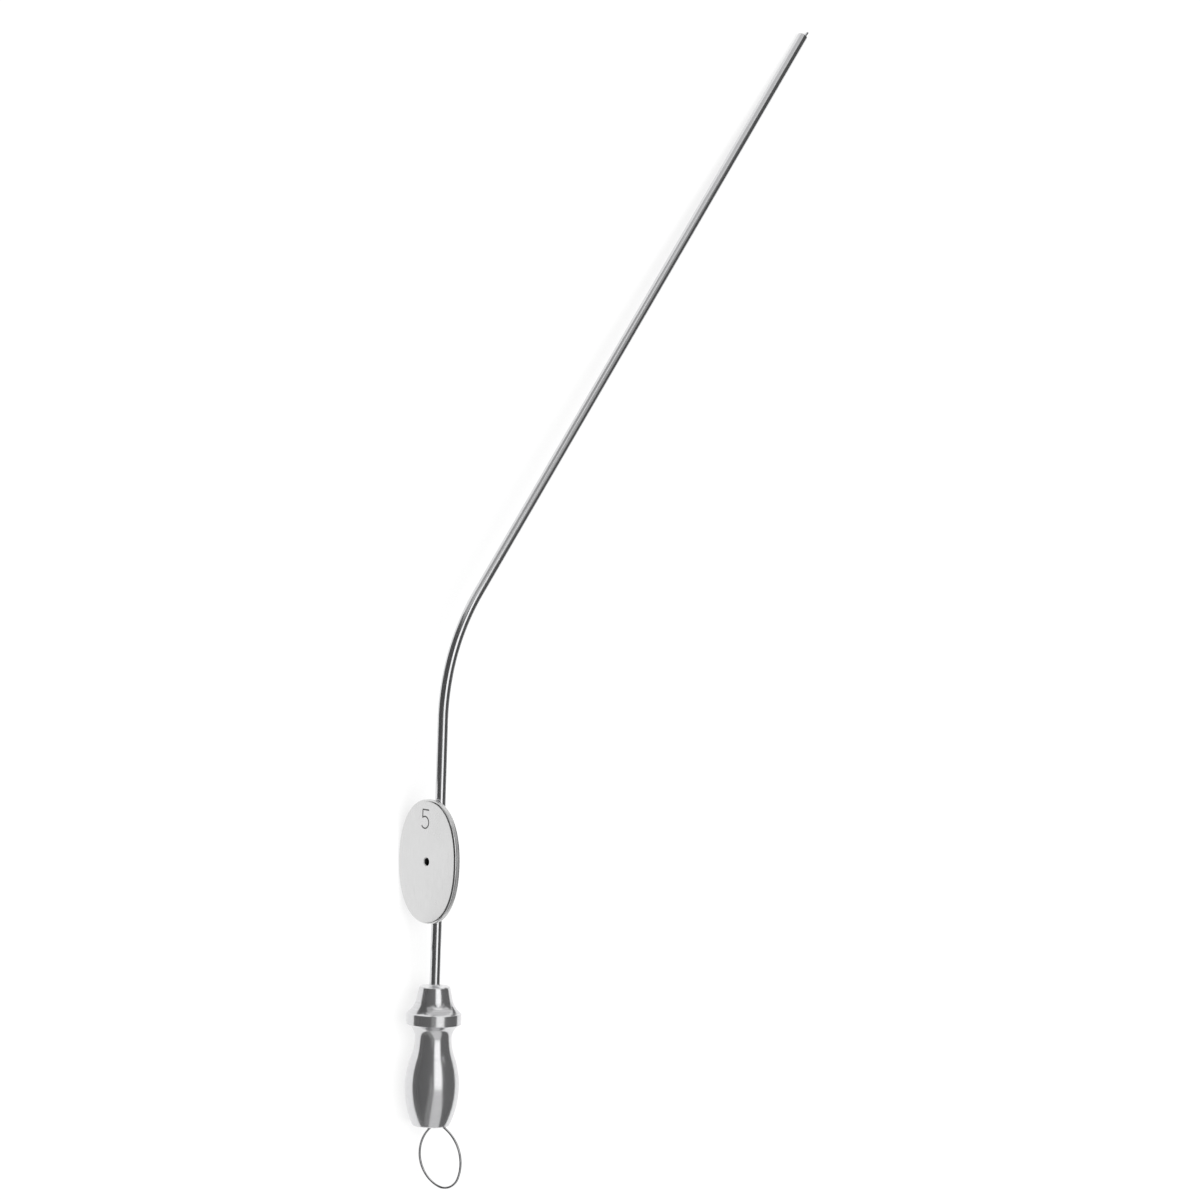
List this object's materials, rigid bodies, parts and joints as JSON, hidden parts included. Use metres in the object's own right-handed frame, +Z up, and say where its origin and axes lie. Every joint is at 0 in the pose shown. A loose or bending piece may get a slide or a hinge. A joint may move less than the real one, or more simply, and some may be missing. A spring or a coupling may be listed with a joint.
{
  "type": "suction tube",
  "caption": "Thin bent suction tube with an oval vented finger plate, a turned olive hose connector and a loop-ended wire stylet in its lumen.",
  "frame": {"origin": "middle of the underside of the bounding box, on the surface that the instrument lies on", "axes": "+Y along the instrument from the hose connector towards the tip, +Z up from the surface, +X the side that the tube bends towards"},
  "size_m": [0.0748, 0.1848, 0.0141],
  "materials": {
    "tube_steel": "drawn stainless steel, polished bright",
    "plate_steel": "stainless steel, satin face and polished rim",
    "turned_steel": "turned stainless steel, polished, with fine turning marks on the collar",
    "wire_steel": "drawn stainless spring wire"
  },
  "bodies": {
    "suction_tube": {"cannula": "tube_steel", "finger_plate": "plate_steel", "hose_connector": "turned_steel"},
    "stylet": {"stylet": "wire_steel"}
  },
  "joints": [
    {"name": "stylet_pull", "type": "slide", "parent": "suction_tube", "child": "stylet", "axis": [0, -0.9978, -0.0659], "range_m": [0, 0.04], "deforming": ["stylet"]}
  ]
}
